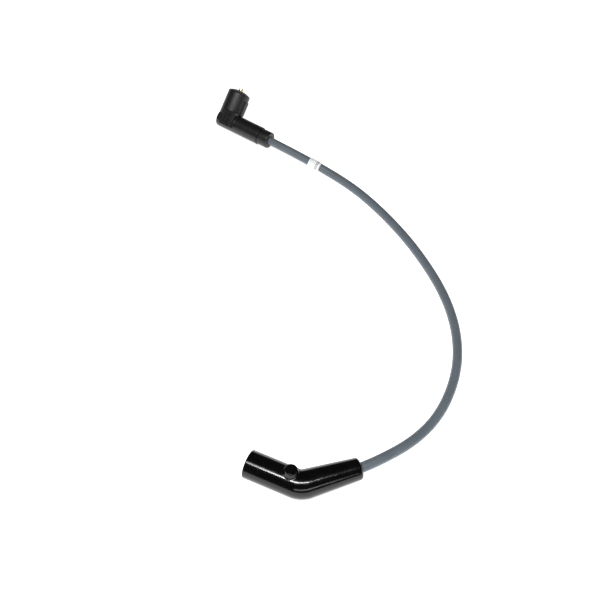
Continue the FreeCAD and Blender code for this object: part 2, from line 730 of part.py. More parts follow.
def contact_spring():
    """Compression spring between the corner block and the resistor."""
    helix = DOC.addObject("Part::Helix", "spring_helix")
    height = spring_room - spring_wire - piece_gap * 2
    bind(helix, "Height", height)
    bind(helix, "Pitch", height / spring_turns)
    bind(helix, "Radius", spring_od / 2 - spring_wire / 2)
    wire = DOC.addObject("Part::Circle", "spring_wire_ring")
    bind(wire, "Radius", spring_wire / 2)
    wire.Placement = Placement(Vector(helix.Radius.Value, 0, 0), Rotation(RIGHT, 90))
    spring = DOC.addObject("Part::Sweep", "contact_spring")
    spring.Sections = [wire]
    spring.Spine = (helix, [])
    spring.Solid = True
    spring.Frenet = True
    spring.Placement = shifted(TOWER, z=(block_top + spring_wire / 2 + piece_gap).value)
    named(spring, "contact_spring")


def corner_contact():
    """Brass block in the elbow: seat of the spring, tapped for the cable screw."""
    block = cylinder("corner_block", block_od / 2, block_top + block_bottom,
                     shifted(TOWER, z=-block_bottom.value))
    tapped = cylinder("corner_tapping", screw_root_od / 2 + piece_gap, block_od, ARM)
    named(cut("corner_contact", block, [tapped]), "corner_contact")


def cable_screw():
    """Pointed screw from the corner block into the end of the cable's core."""
    cable_end = Size(CABLE_IN_PLUG, repr(CABLE_IN_PLUG))
    named(turned("cable_screw", [
        (0, piece_gap),
        (screw_root_od / 2, piece_gap),
        (screw_root_od / 2, block_od / 2 + screw_shoulder),
        (screw_od / 2, block_od / 2 + screw_shoulder + screw_od / 2),
        (screw_od / 2, cable_end + screw_reach - screw_point),
        (0, cable_end + screw_reach),
    ], ARM), "cable_screw")


def entry_seal():
    """Rubber seal where the cable enters the arm."""
    bore = cable_od / 2 + cable_play
    end = arm_length + seal_length
    seal = turned("entry_seal_turned", [
        (bore, arm_length - spigot_length),
        (spigot_od / 2, arm_length - spigot_length),
        (spigot_od / 2, arm_length),
        (seal_od / 2, arm_length),
        (seal_od / 2, end),
        (bore, end),
    ], ARM)
    named(rounded("entry_seal", seal, seal_round, is_end_ring(ARM, end, seal_od / 2)), "entry_seal")


def check_and_write():
    """Refuse a failed or invalid object, then write one STEP file per sub-part."""
    DOC.recompute()
    for thing in DOC.Objects:
        if "Invalid" in thing.State or "Error" in thing.State:
            raise RuntimeError(f"{thing.Label}: {thing.State}")
    os.makedirs("parts", exist_ok=True)
    for piece in PIECES:
        shape = piece.Shape
        if shape.isNull() or not shape.isValid() or not shape.Solids:
            raise RuntimeError(f"{piece.Label}: no valid solid")
        shape.exportStep(f"parts/{piece.Label}.step")


electrode_boot()
socket_terminal()
snap_spring()
cable()
MARKER_START, MARKER_AXIS = marker_sleeve()
plug_body()
tower_cap()
contact_pin()
pin_insert()
resistor_stack()
contact_spring()
corner_contact()
cable_screw()
entry_seal()
check_and_write()

print("cable length", round(CABLE_LENGTH, 1))
print("cable radii", [round(radius, 1) for radius in RADII])
print("plug corner", CORNER, "arm", ARM_DIRECTION, "tower", TOWER_DIRECTION)
print("marker start", MARKER_START, "axis", MARKER_AXIS)
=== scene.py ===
"""Looks of a high-tension ignition lead: elbow boot, cable, marker sleeve and right-angle plug.

Laid out as a Blender add-on and run as a script. Everything is in metres, in the frame of the
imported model.
"""

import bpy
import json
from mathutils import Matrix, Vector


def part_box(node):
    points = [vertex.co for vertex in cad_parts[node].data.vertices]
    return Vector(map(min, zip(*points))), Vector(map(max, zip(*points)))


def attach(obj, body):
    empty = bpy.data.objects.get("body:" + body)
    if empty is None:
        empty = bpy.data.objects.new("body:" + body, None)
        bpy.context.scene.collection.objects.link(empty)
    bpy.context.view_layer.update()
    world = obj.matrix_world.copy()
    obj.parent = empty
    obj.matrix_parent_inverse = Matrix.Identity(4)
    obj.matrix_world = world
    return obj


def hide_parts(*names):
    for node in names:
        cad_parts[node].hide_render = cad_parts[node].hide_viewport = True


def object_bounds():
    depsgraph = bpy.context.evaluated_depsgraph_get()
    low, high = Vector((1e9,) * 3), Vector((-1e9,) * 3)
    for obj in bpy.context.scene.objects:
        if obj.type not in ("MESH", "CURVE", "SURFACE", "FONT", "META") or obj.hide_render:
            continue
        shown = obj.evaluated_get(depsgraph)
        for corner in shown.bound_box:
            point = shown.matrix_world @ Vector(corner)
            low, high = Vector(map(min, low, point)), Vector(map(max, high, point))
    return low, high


bl_info = {
    "name": "Ignition Lead Looks",
    "version": (1, 0, 0),
    "blender": (4, 5, 0),
    "location": "3D View > Sidebar > Ignition Lead",
    "description": "Builds the visible pieces and the finishes of a high-tension ignition lead",
    "category": "Add Mesh",
}

import json
import math

import bmesh
import bpy
from bpy.props import FloatProperty, FloatVectorProperty, IntProperty, PointerProperty
from bpy.types import Operator, Panel, PropertyGroup
from mathutils import Matrix, Vector

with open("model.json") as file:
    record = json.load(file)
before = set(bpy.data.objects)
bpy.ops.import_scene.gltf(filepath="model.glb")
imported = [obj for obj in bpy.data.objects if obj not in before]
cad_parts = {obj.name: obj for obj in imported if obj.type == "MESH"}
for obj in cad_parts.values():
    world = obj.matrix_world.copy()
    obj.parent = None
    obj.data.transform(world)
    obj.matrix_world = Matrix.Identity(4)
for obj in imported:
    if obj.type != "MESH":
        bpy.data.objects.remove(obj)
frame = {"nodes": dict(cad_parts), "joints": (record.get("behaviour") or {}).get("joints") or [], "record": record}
CAD_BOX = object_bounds()

MM = 0.001
UP = Vector((0, 0, 1))
RECORD = frame["record"]
MOUNTS = {mount["name"]: mount for mount in RECORD["mounts"]}
JOINTS = {joint["name"]: joint for joint in frame["joints"]}
SLOT_OF = {part["node"]: part["material_slot"] for part in RECORD["subparts"]}

# The cable's route, corner by corner, from the crimp in the boot to the screw in the plug.
ROUTE = [
    (0.04671, 0.008, 0),
    (0.05599, 0.01607, 0),
    (0.07274, 0.03064, 0),
    (0.096, 0.0656, -0.0062),
    (0.1048, 0.0998, -0.0062),
    (0.1005, 0.1411, -0.0062),
    (0.0787, 0.1825, -0.0062),
    (0.0386, 0.2214, -0.0062),
    (-0.0035, 0.2497, -0.0062),
    (-0.04215, 0.2679, -0.0062),
    (-0.1044, 0.27876, -0.00055),
    (-0.1461, 0.28683, -0.00055),
]


def plug_axes():
    """Corner of the plug's two axes, and the directions of its arm, tower and ribbed face."""
    swivel = JOINTS["plug_swivel"]
    pin = MOUNTS["contact_pin"]
    arm = Vector(swivel["axis"]).normalized()
    tower = Vector(pin["axis"]).normalized()
    pin_at = Vector(pin["pos_m"])
    corner = pin_at - tower * (pin_at - Vector(swivel["pos_m"])).dot(tower)
    return corner, arm, tower, arm.cross(tower)


CORNER, ARM_AXIS, TOWER_AXIS, FACE_AXIS = plug_axes()
FLOOR_Z = CAD_BOX[0].z
BOOT_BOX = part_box("electrode_boot")


def axes(origin, x_axis, y_axis, z_axis):
    """The matrix of a frame from its origin and its three directions."""
    turn = Matrix((x_axis, y_axis, z_axis)).transposed().to_4x4()
    return Matrix.Translation(origin) @ turn


TOWER = axes(CORNER, FACE_AXIS, ARM_AXIS, TOWER_AXIS)
ARM = axes(CORNER, TOWER_AXIS, FACE_AXIS, ARM_AXIS)


# ---------------------------------------------------------------- sizes and finishes


def length(name, description, default):
    """A length that a user may change."""
    return FloatProperty(
        name=name, description=description, default=default, unit="LENGTH", precision=5
    )


def angle(name, description, degrees):
    """An angle that a user may change."""
    return FloatProperty(
        name=name, description=description, default=math.radians(degrees), subtype="ANGLE"
    )


def share(name, description, default):
    """A number from 0 to 1 that a user may change."""
    return FloatProperty(
        name=name, description=description, default=default, min=0, max=1, subtype="FACTOR"
    )


def colour(name, description, default):
    """A linear colour that a user may change."""
    return FloatVectorProperty(
        name=name, description=description, default=default, size=3, min=0, max=1, subtype="COLOR"
    )


SOCKET_DIMS = MOUNTS["electrode_socket"]["dims"]


class BootSizes(PropertyGroup):
    """Sizes of the elbow boot."""

    radius: length("Barrel radius", "Outer radius of the barrel", -BOOT_BOX[0].z)
    barrel: length("Barrel length", "Mouth to the elbow's corner", 0.0375)
    turn: angle("Elbow", "Turn of the elbow", 41)
    bend: length("Elbow radius", "Radius of the elbow's centreline", 0.0115)
    leg: length("Leg length", "Elbow's corner to the cable face", 0.0405)
    leg_end: length("Leg end radius", "Radius of the leg at the cable face", 0.0073)
    leg_round: length("Leg rounding", "Rounding of the leg's end", 0.0022)
    lip: length("Lip rounding", "Rounding of the mouth's lip", 0.0008)
    bore: length("Mouth bore", "Radius of the socket bore", SOCKET_DIMS["r_mm"] * MM)
    depth: length("Mouth depth", "Depth of the socket bore", SOCKET_DIMS["length_mm"] * MM)
    inner_bore: length("Inner bore", "Radius of the bore round the terminal", 0.0045)
    inner_depth: length("Inner depth", "Depth of the bore round the terminal", 0.0341)
    boss: length("Boss radius", "Radius of the round boss", 0.0047)
    boss_rise: length("Boss rise", "Boss above the barrel", 0.003)
    boss_back: length("Boss setback", "Boss centre to the elbow's corner", 0.0077)
    boss_lean: angle("Boss lean", "Lean towards the inside of the elbow", 13)


class CableSizes(PropertyGroup):
    """Sizes of the cable and of the sleeve on it."""

    diameter: length("Cable diameter", "Outer diameter of the cable", 0.007)
    whole: length("Cable length", "Whole length, crimp to plug screw", 0.4536)
    sleeve_round: length("Sleeve rounding", "Rounding of the marker sleeve's ends", 0.00022)


class PlugSizes(PropertyGroup):
    """Sizes of the right-angle plug."""

    arm: length("Arm radius", "Outer radius of the arm", 0.00775)
    arm_end: length("Arm length", "Tower axis to the end of the moulded arm", 0.036)
    back: length("Arm back", "Tower axis to the back of the arm", 0.0079)
    heel_low: length("Heel", "Arm axis down to the foot of the round back", 0.0054)
    collar: length("Collar radius", "Tower below the cap", 0.0086)
    cap: length("Cap radius", "Outer radius of the rubber cap", 0.01)
    cap_low: length("Cap edge", "Arm axis to the cap's lower edge", 0.0039)
    cap_high: length("Cap shoulder", "Arm axis to the cap's shoulder", 0.0256)
    tower: length("Tower", "Radius of the tower inside the cap", 0.0078)
    flange: length("Flange", "Arm axis to the insert's flange, under the cap's roof", 0.024)
    dome: length("Dome", "Rise of the cap's dome", 0.0025)
    opening: length("Cap opening", "Radius of the opening round the pin", 0.003)
    face: length("Pad face", "Arm axis to the face of the grip pad", 0.0102)
    root: length("Pad root", "Arm axis to the root of the grip pad", 0.004)
    front: length("Pad front", "Tower axis to the pad's edge on the arm", 0.0099)
    behind: length("Pad back", "Tower axis to the pad's edge on the back", 0.0016)
    pad_low: length("Pad foot", "Arm axis down to the pad's lower edge", 0.005)
    pad_top: length("Pad top", "Arm axis up to the pad's upper edge", 0.0086)
    rib_rows: IntProperty(name="Rib rows", description="Grip ribs in each column", default=9, min=1)
    rib_pitch: length("Rib pitch", "Spacing of the grip ribs", 0.00132)
    rib_length: length("Rib length", "Length of a grip rib", 0.0042)
    rib_width: length("Rib width", "Width of a grip rib", 0.00065)
    rib_margin: length("Rib margin", "Pad's upper edge to the first rib", 0.0012)
    rib_gap: length("Rib gap", "Gap between the two columns of ribs", 0.0009)
    rib_rise: length("Rib rise", "Grip ribs above the pad", 0.0005)
    seal: length("Seal radius", "Outer radius of the entry seal", 0.0071)
    seal_length: length("Seal length", "Visible length of the entry seal", 0.0102)
    pin: length("Pin radius", "Radius of the split pin", MOUNTS["contact_pin"]["dims"]["r_mm"] * MM)
    pin_tip: length("Pin tip", "Arm axis to the pin's tip", 0.03)
    slot: length("Pin slot", "Width of the pin's slot", 0.0008)
    slot_depth: length("Slot depth", "Depth of the pin's slot", 0.006)


class Finishes(PropertyGroup):
    """Colours and gloss of the finishes."""

    boot: colour("Boot", "Glossy black silicone", (0.0015, 0.0015, 0.0016))
    boot_gloss: share("Boot roughness", "Roughness of the boot", 0.13)
    cable: colour("Cable", "Blue-grey silicone", (0.12, 0.145, 0.165))
    cable_gloss: share("Cable roughness", "Roughness of the cable", 0.33)
    marker: colour("Marker", "White sleeve", (0.86, 0.87, 0.87))
    mark: colour("Mark", "Dark rings on the sleeve", (0.03, 0.03, 0.032))
    moulding: colour("Moulding", "Black moulded plastic", (0.007, 0.007, 0.0075))
    cap: colour("Cap", "Black rubber", (0.006, 0.006, 0.0065))
    brass: colour("Brass", "Turned brass", (0.74, 0.56, 0.27))
    steel: colour("Steel", "Drawn steel", (0.60, 0.60, 0.61))
    ceramic: colour("Ceramic", "Unglazed ceramic", (0.72, 0.66, 0.55))


class StageSizes(PropertyGroup):
    """Camera, floor and lights."""

    azimuth: angle("Azimuth", "Turn of the camera round the lead", 23.82)
    elevation: angle("Elevation", "Camera above the horizon", 54)
    distance: length("Distance", "Camera to the point it looks at", 0.6057)
    aim_x: length("Aim X", "Point looked at, from the middle of the lead", 0.01097)
    aim_y: length("Aim Y", "Point looked at, from the middle of the lead", -0.01465)
    lens: FloatProperty(name="Lens", description="Focal length in millimetres", default=47.37)
    floor: length("Floor", "Half the floor's side", 0.8)
    glow: FloatProperty(name="Floor glow", description="Light that the floor gives off itself", default=0.9)
    dome: FloatProperty(name="Dome", description="Strength of the dim surround", default=0.04)


SETS = {
    "boot": BootSizes,
    "cable": CableSizes,
    "plug": PlugSizes,
    "finish": Finishes,
    "stage": StageSizes,
}


def sizes(name):
    """One group of the scene's sizes."""
    return getattr(bpy.context.scene, "lead_" + name)


# ---------------------------------------------------------------- shader nodes


class Wire:
    """A node's output that adds Math nodes when it is used in an expression."""

    def __init__(self, finish, socket):
        self.finish = finish
        self.socket = socket

    def math(self, operation, *values):
        made = self.finish.node("ShaderNodeMath", {"operation": operation}, dict(enumerate(values)))
        return Wire(self.finish, made.outputs[0])

    def __add__(self, other):
        return self.math("ADD", self, other)

    def __radd__(self, other):
        return self.math("ADD", other, self)

    def __sub__(self, other):
        return self.math("SUBTRACT", self, other)

    def __rsub__(self, other):
        return self.math("SUBTRACT", other, self)

    def __mul__(self, other):
        return self.math("MULTIPLY", self, other)

    def __rmul__(self, other):
        return self.math("MULTIPLY", other, self)

    def __truediv__(self, other):
        return self.math("DIVIDE", self, other)

    def __gt__(self, other):
        return self.math("GREATER_THAN", self, other)

    def __lt__(self, other):
        return self.math("LESS_THAN", self, other)

    def __abs__(self):
        return self.math("ABSOLUTE", self)


class Finish:
    """A node tree with one method that adds a node."""

    def __init__(self, owner):
        owner.use_nodes = True
        self.tree = owner.node_tree
        self.tree.nodes.clear()

    def node(self, kind, settings=None, inputs=None):
        """Add a node: its settings first, then the values or links of its sockets."""
        made = self.tree.nodes.new(kind)
        for name, value in (settings or {}).items():
            if name == "stops":
                self.set_stops(made.color_ramp, value)
            else:
                setattr(made, name, value)
        for name, value in (inputs or {}).items():
            socket = made.inputs[name]
            if isinstance(value, Wire):
                self.tree.links.new(value.socket, socket)
            else:
                socket.default_value = value
        return made

    def wire(self, kind, settings, inputs, output=0):
        """Add a node and take one of its outputs."""
        return Wire(self, self.node(kind, settings, inputs).outputs[output])

    @staticmethod
    def set_stops(ramp, stops):
        while len(ramp.elements) > len(stops):
            ramp.elements.remove(ramp.elements[-1])
        while len(ramp.elements) < len(stops):
            ramp.elements.new(1)
        for element, (position, value) in zip(ramp.elements, stops):
            element.position = position
            element.color = (value, value, value, 1)

    def place(self):
        """Position on the piece, in metres."""
        return self.wire("ShaderNodeTexCoord", {}, {}, "Object")

    def speckle(self, scale, detail=3.0, roughness=0.5, stretch=None):
        """Fractal noise from 0 to 1; scale is in features per metre."""
        at = self.place()
        if stretch:
            at = self.wire("ShaderNodeMapping", {}, {"Vector": at, "Scale": stretch})
        return self.wire(
            "ShaderNodeTexNoise", {}, {"Vector": at, "Scale": scale, "Detail": detail, "Roughness": roughness}
        )

    def levels(self, value, *stops):
        """Remap a value through a ramp of (position, value) stops."""
        return self.wire("ShaderNodeValToRGB", {"stops": stops}, {"Fac": value})

    def blend(self, factor, first, second):
        """Mix two colours."""
        made = self.node("ShaderNodeMix", {"data_type": "RGBA"}, {"Factor": factor})
        for socket, value in zip((made.inputs[6], made.inputs[7]), (first, second)):
            if isinstance(value, Wire):
                self.tree.links.new(value.socket, socket)
            else:
                socket.default_value = (*value, 1)
        return Wire(self, made.outputs[2])

    def bump(self, height, distance, strength=1.0, under=None):
        """A normal from a height field; distance is in metres."""
        inputs = {"Height": height, "Distance": distance, "Strength": strength}
        if under:
            inputs["Normal"] = under
        return self.wire("ShaderNodeBump", {}, inputs)

    def surface(self, **inputs):
        """The Principled surface, wired to the output. Names use _ for spaces."""
        named = {name.replace("_", " "): value for name, value in inputs.items()}
        shader = self.wire("ShaderNodeBsdfPrincipled", {}, named)
        self.node("ShaderNodeOutputMaterial", {}, {"Surface": shader})


def new_finish(name):
    """A new material and the finish that fills it."""
    material = bpy.data.materials.new(name + "_finish")
    return material, Finish(material)


def shade(base, factor):
    """A colour made lighter or darker."""
    return tuple(min(1.0, part * factor) for part in base)


# ---------------------------------------------------------------- finishes


def boot_silicone():
    """Glossy moulded silicone with faint handling haze."""
    look = sizes("finish")
    material, finish = new_finish("boot_silicone")
    haze = finish.levels(finish.speckle(160, 4, 0.6), (0.42, 0), (0.75, 1))
    dust = finish.levels(finish.speckle(2600, 2, 0.5), (0.66, 0), (0.74, 1))
    base = finish.blend(haze * 0.5, look.boot, shade(look.boot, 1.9))
    tone = finish.blend(dust * 0.35, base, (0.06, 0.06, 0.058))
    waves = finish.bump(finish.speckle(90, 2), 0.00006, 0.35)
    grain = finish.bump(finish.speckle(1800, 3), 0.00001, 0.25, waves)
    finish.surface(
        Base_Color=tone,
        Roughness=look.boot_gloss + haze * 0.06 + dust * 0.2,
        Normal=grain,
        IOR=1.45,
    )
    return material


def cable_silicone():
    """Satin extruded silicone, a little streaky."""
    look = sizes("finish")
    material, finish = new_finish("cable_silicone")
    cloud = finish.levels(finish.speckle(55, 4, 0.55), (0.35, 0), (0.7, 1))
    fine = finish.speckle(1500, 4, 0.6)
    base = finish.blend(cloud, shade(look.cable, 0.93), shade(look.cable, 1.06))
    tone = finish.blend(finish.levels(fine, (0.56, 0), (0.72, 1)) * 0.3, base, shade(look.cable, 1.35))
    skin = finish.bump(fine, 0.00003, 0.3)
    finish.surface(
        Base_Color=tone,
        Roughness=look.cable_gloss + cloud * 0.06 + fine * 0.05,
        Normal=skin,
        IOR=1.43,
    )
    return material


def marker_plastic():
    """White sleeve with two plain dark rings."""
    look = sizes("finish")
    material, finish = new_finish("marker_plastic")
    slide = Vector(JOINTS["marker_slide"]["axis"])
    low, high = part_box("marker_sleeve")
    middle = ((low + high) / 2).dot(slide)
    along = finish.wire(
        "ShaderNodeVectorMath", {"operation": "DOT_PRODUCT"}, {0: finish.place(), 1: slide}, "Value"
    )
    from_middle = along - middle
    half_ring = 0.00028
    first = abs(from_middle - 0.0019) < half_ring
    second = abs(from_middle - 0.0031) < half_ring
    worn = finish.levels(finish.speckle(2400, 3), (0.36, 0), (0.44, 1))
    paint = (first + second) * worn
    cloud = finish.speckle(300, 3)
    white = finish.blend(cloud, shade(look.marker, 0.95), look.marker)
    finish.surface(
        Base_Color=finish.blend(paint, white, look.mark),
        Roughness=0.38 + cloud * 0.12,
        Normal=finish.bump(finish.speckle(1700, 3), 0.00002, 0.3),
    )
    return material


def moulded_black(name, base, gloss, grain_scale, grain_depth):
    """Black moulded plastic or rubber: fine grain, handling marks and a trace of dust."""
    material, finish = new_finish(name)
    grain = finish.speckle(grain_scale, 3, 0.6)
    rubbed = finish.levels(finish.speckle(210, 4, 0.6), (0.45, 0), (0.72, 1))
    dust = finish.levels(finish.speckle(3200, 2, 0.5), (0.68, 0), (0.76, 1))
    worn = finish.blend(rubbed, base, shade(base, 1.45))
    finish.surface(
        Base_Color=finish.blend(dust * 0.25, worn, (0.09, 0.09, 0.085)),
        Roughness=gloss + rubbed * 0.07 + grain * 0.06,
        Normal=finish.bump(grain, grain_depth, 0.4),
        IOR=1.5,
    )
    return material


def plug_moulding():
    return moulded_black("plug_moulding", tuple(sizes("finish").moulding), 0.34, 2600, 0.00003)


def cap_rubber():
    return moulded_black("cap_rubber", tuple(sizes("finish").cap), 0.42, 1900, 0.00004)


def seal_rubber():
    return moulded_black("seal_rubber", shade(sizes("finish").cap, 1.15), 0.38, 1700, 0.00004)


def insert_plastic():
    return moulded_black("insert_plastic", shade(sizes("finish").moulding, 1.2), 0.48, 2200, 0.00003)


def metal(name, base, gloss, tarnish):
    """Bare metal: fine scratches, and patches of tarnish."""
    material, finish = new_finish(name)
    patches = finish.levels(finish.speckle(420, 4, 0.6), (0.4, 0), (0.75, 1))
    scratches = finish.speckle(2800, 2, 0.5, (1.0, 0.12, 1.0))
    finish.surface(
        Base_Color=finish.blend(patches * tarnish, base, shade(base, 0.45)),
        Metallic=1.0,
        Roughness=gloss + patches * 0.15 + scratches * 0.08,
        Normal=finish.bump(scratches, 0.00001, 0.4),
    )
    return material


def pin_brass():
    return metal("pin_brass", tuple(sizes("finish").brass), 0.24, 0.5)


def pressed_brass():
    return metal("pressed_brass", shade(sizes("finish").brass, 1.08), 0.3, 0.35)


def spring_steel():
    return metal("spring_steel", tuple(sizes("finish").steel), 0.28, 0.3)


def copper_strand():
    return metal("copper_strand", (0.72, 0.42, 0.26), 0.35, 0.4)


def resistor_ceramic():
    """Unglazed ceramic with fine pits."""
    base = tuple(sizes("finish").ceramic)
    material, finish = new_finish("resistor_ceramic")
    pits = finish.levels(finish.speckle(3000, 3), (0.3, 0), (0.5, 1))
    finish.surface(
        Base_Color=finish.blend(pits, shade(base, 0.7), base),
        Roughness=0.75,
        Normal=finish.bump(pits, 0.00004, 0.5),
    )
    return material


def glass_braid():
    """White glass-fibre weave."""
    material, finish = new_finish("glass_braid")
    weave = finish.wire("ShaderNodeTexWave", {"bands_direction": "DIAGONAL"}, {"Vector": finish.place(), "Scale": 900.0})
    finish.surface(
        Base_Color=finish.blend(weave, (0.60, 0.59, 0.54), (0.84, 0.83, 0.78)),
        Roughness=0.7,
        Normal=finish.bump(weave, 0.00008, 0.6),
    )
    return material


def core_insulation():
    """Off-white inner silicone."""
    material, finish = new_finish("core_insulation")
    cloud = finish.speckle(400, 3)
    finish.surface(
        Base_Color=finish.blend(cloud, (0.62, 0.62, 0.60), (0.74, 0.74, 0.72)),
        Roughness=0.45 + cloud * 0.1,
        Normal=finish.bump(cloud, 0.00002, 0.3),
    )
    return material


FINISHES = {
    "boot_silicone": boot_silicone,
    "pressed_brass": pressed_brass,
    "spring_steel": spring_steel,
    "cable_silicone": cable_silicone,
    "glass_braid": glass_braid,
    "core_insulation": core_insulation,
    "copper_strand": copper_strand,
    "marker_plastic": marker_plastic,
    "plug_moulding": plug_moulding,
    "cap_rubber": cap_rubber,
    "pin_brass": pin_brass,
    "insert_plastic": insert_plastic,
    "resistor_ceramic": resistor_ceramic,
    "seal_rubber": seal_rubber,
}


def finish_for(slot):
    """The material of a slot, made the first time it is asked for."""
    return bpy.data.materials.get(slot + "_finish") or FINISHES[slot]()


# ---------------------------------------------------------------- mesh making


def rounded(corners, steps=6):
    """An outline of (radius, height, rounding) corners as points, each rounding drawn as an arc."""
    points = []
    for number, (across, along, rounding) in enumerate(corners):
        here = Vector((across, along))
        if not rounding:
            points.append(here)
            continue
        before = (Vector(corners[number - 1][:2]) - here).normalized()
        after = (Vector(corners[(number + 1) % len(corners)][:2]) - here).normalized()
        half = before.angle(after) / 2
        reach = rounding / math.tan(half)
        centre = here + (before + after).normalized() * (rounding / math.sin(half))
        start = here + before * reach - centre
        sweep = start.angle_signed(here + after * reach - centre)
        for step in range(steps + 1):
            points.append(centre + Matrix.Rotation(-sweep * step / steps, 2) @ start)
    return points


def divided(points, longest):
    """The same outline with its long sides cut into equal lengths."""
    fine = []
    for here, there in zip(points, points[1:]):
        count = max(1, math.ceil((there - here).length / longest))
        fine.extend(here.lerp(there, step / count) for step in range(count))
    fine.append(points[-1])
    return fine


def skin(name, outline, place, segments, closed=False):
    """Revolve an outline of (radius, height) points; place gives the frame at a height."""
    mesh = bmesh.new()
    rings = []
    for radius, height in outline:
        at = place(height)
        if radius < 1e-7:
            rings.append([mesh.verts.new(at.translation)])
            continue
        turns = [math.tau * step / segments for step in range(segments)]
        rings.append([mesh.verts.new(at @ Vector((radius * math.cos(a), radius * math.sin(a), 0))) for a in turns])
    pairs = list(zip(rings, rings[1:]))
    if closed:
        pairs.append((rings[-1], rings[0]))
    for low, high in pairs:
        for step in range(segments):
            following = (step + 1) % segments
            corners = [low[step % len(low)], low[following % len(low)],
                       high[following % len(high)], high[step % len(high)]]
            unique = list(dict.fromkeys(corners))
            if len(unique) > 2:
                mesh.faces.new(unique)
    return finished(name, mesh)


def finished(name, mesh):
    """An object from a bmesh, with outward normals and smooth faces."""
    bmesh.ops.recalc_face_normals(mesh, faces=mesh.faces)
    for face in mesh.faces:
        face.smooth = True
    data = bpy.data.meshes.new(name)
    mesh.to_mesh(data)
    mesh.free()
    made = bpy.data.objects.new(name, data)
    bpy.context.scene.collection.objects.link(made)
    return made


def turned(name, outline, at, segments=96, closed=False):
    """A body of revolution about +Z of a frame."""
    return skin(name, outline, lambda height: at @ Matrix.Translation((0, 0, height)), segments, closed)


def block(mesh, at, low, high):
    """Add a box to a bmesh, from its low to its high corner in a frame."""
    size = Vector(high) - Vector(low)
    middle = (Vector(high) + Vector(low)) / 2
    scale = Matrix.Diagonal((*size, 1))
    bmesh.ops.create_cube(mesh, size=1, matrix=at @ Matrix.Translation(middle) @ scale)


def rod(mesh, at, radius, low, high, segments=96):
    """Add a rod to a bmesh, along +Z of a frame from low to high."""
    middle = at @ Matrix.Translation((0, 0, (low + high) / 2))
    bmesh.ops.create_cone(mesh, cap_ends=True, segments=segments, radius1=radius, radius2=radius,
                          depth=high - low, matrix=middle)


def bevelled(piece, width, segments):
    """Round every edge of a mesh piece."""
    settings = {"width": width, "segments": segments, "limit_method": "NONE"}
    return with_modifiers(piece, ("BEVEL", settings))


def carved(piece, cutter):
    """Cut one mesh piece with another, which is used up."""
    settings = {"operation": "DIFFERENCE", "object": cutter, "solver": "EXACT"}
    with_modifiers(piece, ("BOOLEAN", settings))
    bpy.data.objects.remove(cutter)
    return piece


def with_modifiers(piece, *modifiers):
    """Apply modifiers, given as (kind, settings), to a mesh piece."""
    for kind, settings in modifiers:
        added = piece.modifiers.new(kind, kind)
        for name, value in settings.items():
            setattr(added, name, value)
    graph = bpy.context.evaluated_depsgraph_get()
    result = bpy.data.meshes.new_from_object(piece.evaluated_get(graph))
    piece.modifiers.clear()
    old = piece.data
    piece.data = result
    bpy.data.meshes.remove(old)
    for polygon in piece.data.polygons:
        polygon.use_smooth = True
    return piece


def put_on(piece, body, node):
    """Finish a piece, let it ride on its body and stand for its CAD node."""
    slot = SLOT_OF[node]
    piece.data.materials.clear()
    piece.data.materials.append(finish_for(slot))
    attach(piece, body)
    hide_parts(node)


# ---------------------------------------------------------------- operators


